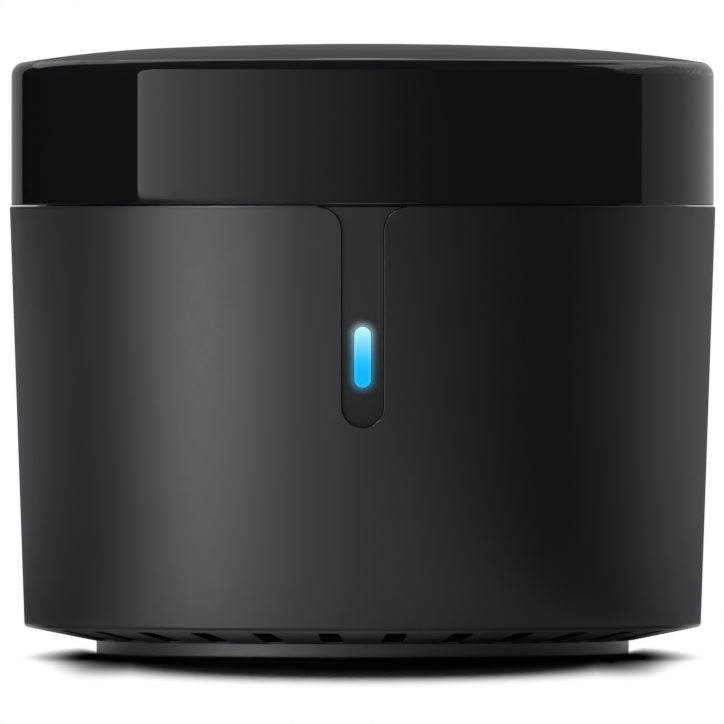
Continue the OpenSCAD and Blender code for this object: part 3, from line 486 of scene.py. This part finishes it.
# cards on the table, on both sides of the camera's narrow view and behind the object
CARD_Z = 1.2
CARD_X = 27.0
low_dim = glow("low_dim", LOW_STOPS, share=table_share)
flat("dark_table", -WALL_R, -CARD_X, -WALL_R, WALL_R, CARD_Z, low_dim)
flat("dark_table", CARD_X, WALL_R, -WALL_R, WALL_R, CARD_Z, low_dim)
flat("dark_table_rear", -CARD_X, CARD_X, 40.0, WALL_R, CARD_Z, dark)

# a faint ring on the table, which the vent cone and the foot mirror
band("table_glow", -180.0, 180.0, (18.4, 0.06), (34.0, 0.06), glow("table_glow", [
    (-180.0, 0.06), (-120.0, 0.16), (-90.0, 0.12), (-60.0, 0.06), (-28.0, 0.12), (0.0, 0.38), (30.0, 0.42),
    (50.0, 0.27), (72.0, 0.08), (100.0, 0.03), (180.0, 0.05)]), 96)


def area(name, az, el, dist, target_z, w, h, power, glossy=True, lights=None):
    """A soft lamp at a distance from the object's middle. With lights, it lights those objects alone."""
    d = bpy.data.lights.new(name, "AREA")
    d.shape = "RECTANGLE"
    d.size = w * MM
    d.size_y = h * MM
    d.energy = power
    o = bpy.data.objects.new(name, d)
    scene.collection.objects.link(o)
    o.location = Vector((0.0, 0.0, 20.0 * MM)) + direction(az, el) * dist * MM
    o.rotation_euler = (Vector((0.0, 0.0, target_z * MM)) - o.location).to_track_quat("-Z", "Y").to_euler()
    o.visible_glossy = glossy
    o.visible_camera = False
    if lights is not None:
        lit = bpy.data.collections.new("lit_by_" + name)
        for other in lights:
            lit.objects.link(other)
        o.light_linking.receiver_collection = lit


# soft light from above and a little behind: it whitens the floor and throws the contact shadow forward
area("top_light", 180.0, 86.5, 1200.0, 0.0, 170.0, 170.0, 17.6, glossy=False)
# a soft fill from the front left for the object alone
area("fill", 40.0, 18.0, 420.0, 18.0, 260.0, 160.0, 0.8, glossy=False, lights=nodes.values())
# a small lamp high in front for the highlight on the housing's edge at the seam
area("edge_light", 62.0, 48.0, 400.0, 29.0, 120.0, 60.0, 1.4, lights=[nodes["housing"]])


# Floor: white where it is seen outside an oval round the object, with a painted soft edge; inside it a pale
# surface, painted near black close to the object as shadow

PAINTED_SHADOW_LOW, PAINTED_SHADOW_HIGH = 20.5 * MM, 24.0 * MM
OVAL_X, OVAL_Y, OVAL_FORWARD = 22.5 * MM, 24.0 * MM, 3.2 * MM

g = material("floor_white")
b = principled(g, rough=0.9, spec=0.0)
at = g.coords()
length = g.add("ShaderNodeVectorMath", operation="LENGTH")
g.link(at, length.inputs[0])
# painted shadow: the floor's colour falls to near black close to the object
near = g.remap(length.outputs["Value"], 0.08, 1.0, PAINTED_SHADOW_LOW, PAINTED_SHADOW_HIGH)
pale = toned(g, at, 30.0, 2.0, grey(0.88), grey(0.9))
g.link(g.mix(near, (0.0, 0.0, 0.0, 1.0), pale), b.inputs["Base Color"])
x, y, _ = g.xyz(at)
# the oval: outside it the floor is seen as white, painted over its real shadow, with a soft painted edge
oval = g.hypot(g.math("DIVIDE", x, OVAL_X), g.math("DIVIDE", g.math("ADD", y, OVAL_FORWARD), OVAL_Y))
outside = g.math("POWER", g.remap(oval, 0.0, 1.0, 0.80, 1.0, "SMOOTHSTEP"), 1.6)
g.either(g.math("MULTIPLY", outside, g.seen()), b, g.add("ShaderNodeEmission"))
floor_white = g.owner

# its form, in mm: level under the foot, falling gently towards the camera
SLOPE, BLEND, UNDER = 0.17, 1.2, 0.01
FALL_Y, FALL_X, FALL_BACK = -17.0, 14.2, 3.4
SIDE_FRONT, SIDE_REAR, SIDE_RISE, SIDE_Y = 0.028, 0.042, 0.06, 14.0
ROW_Y = [160.0, 100.0, 60.0, 44.0, 38.0, 32.0, 26.0, 22.0, 18.0, 14.0, 10.0, 6.0, 2.0, -2.0, -6.0, -10.0,
         -12.0]
ROW_Y += [-13.0 - 0.5 * i for i in range(16)] + [-22.0, -24.0, -30.0, -60.0, -120.0, -400.0]
COLUMN_X = [-500.0, -120.0, -60.0, -40.0, -31.0, -29.0, -27.0, -25.0, -23.0, -21.0, -19.6, -19.0, -18.4,
            -17.8, -17.2, -16.6, -15.0, -12.0, -9.0, -6.0, -3.0]
COLUMN_X += [0.0] + [-x for x in reversed(COLUMN_X)]


def rise(value, low, high):
    """A smooth step from 0 at low to 1 at high."""
    t = min(1.0, max(0.0, (value - low) / (high - low)))
    return t * t * (3.0 - 2.0 * t)


def floor_z(x, y):
    """Height of the floor; beside the foot it leans a little, so that the shadow there is seen."""
    side = abs(x)
    start = FALL_Y + FALL_BACK * (min(1.0, (x / FALL_X) ** 2) + rise(side, FALL_X, 17.4))
    d = max(0.0, start - y)
    fall = d * d / (2.0 * BLEND) if d < BLEND else d - BLEND / 2.0
    lean = (SIDE_FRONT if y < 0.0 else SIDE_REAR) * max(-SIDE_Y, min(SIDE_Y, y)) + SIDE_RISE
    beside = rise(side, 16.6, 18.8) * (1.0 - rise(side, 23.0, 31.0)) * (1.0 - rise(y, 24.0, 40.0))
    return lean * beside - SLOPE * fall - UNDER


points, faces = [], []
n = len(COLUMN_X)
for j, y in enumerate(ROW_Y):
    for i, x in enumerate(COLUMN_X):
        points.append((x, y, floor_z(x, y)))
        if i and j:
            k = j * n + i
            faces.append((k - n - 1, k - n, k, k - 1))
floor = stage_mesh("floor", points, faces, floor_white)
for p in floor.data.polygons:
    p.use_smooth = True


# World: plain soft grey light, and white wherever it is seen, mirrored or looked through

sky = Graph(bpy.data.worlds.new("studio"), "ShaderNodeOutputWorld")
scene.world = sky.owner
sky.either(sky.seen(), sky.add("ShaderNodeBackground", Color=(0.95, 0.97, 1.0, 1.0), Strength=0.03),
           sky.add("ShaderNodeBackground", Color=(1.0, 1.0, 1.0, 1.0), Strength=1.0))
